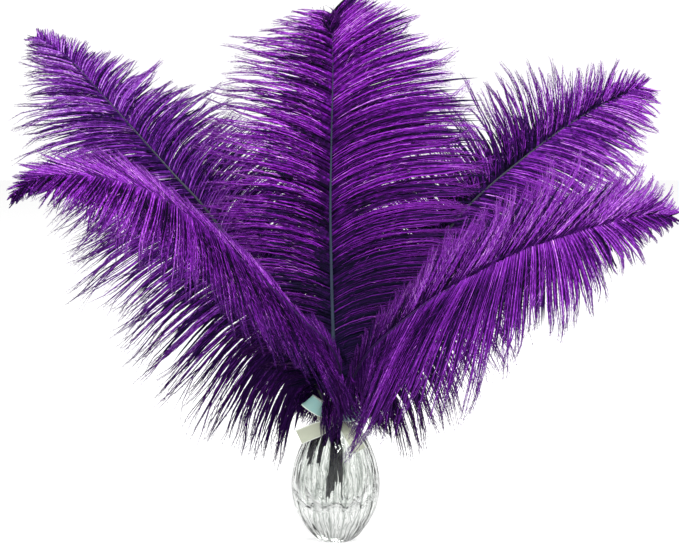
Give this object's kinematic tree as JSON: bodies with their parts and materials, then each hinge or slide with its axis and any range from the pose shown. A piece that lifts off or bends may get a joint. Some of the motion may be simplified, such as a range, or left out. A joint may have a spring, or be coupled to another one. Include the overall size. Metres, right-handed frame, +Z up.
{
  "type": "ostrich feather bouquet in vase",
  "caption": "Dyed ostrich plumes fanned out of a small fluted clear glass vase with a ribbon bow at its neck, a standing decoration.",
  "frame": {"origin": "centre of the vase's flat foot, on the surface that it stands on", "axes": "+Z up along the vase's axis, +X to the right of someone who looks at the front of the bouquet, front faces -Y"},
  "size_m": [0.504, 0.245, 0.4206],
  "materials": {
    "clear_glass": "clear pressed glass with a faint grey-green tint, fire-polished",
    "satin_ribbon": "thin satin ribbon, cream with a turquoise side",
    "dyed_plume": "downy dyed barbs, purple with navy tips, matt with a soft sheen"
  },
  "bodies": {
    "root": {"vase": "clear_glass", "ribbon_bow": "satin_ribbon", "feather_center": "dyed_plume", "feather_back_left": "dyed_plume", "feather_back_right": "dyed_plume", "feather_front_left": "dyed_plume", "feather_front_right": "dyed_plume"}
  },
  "joints": []
}
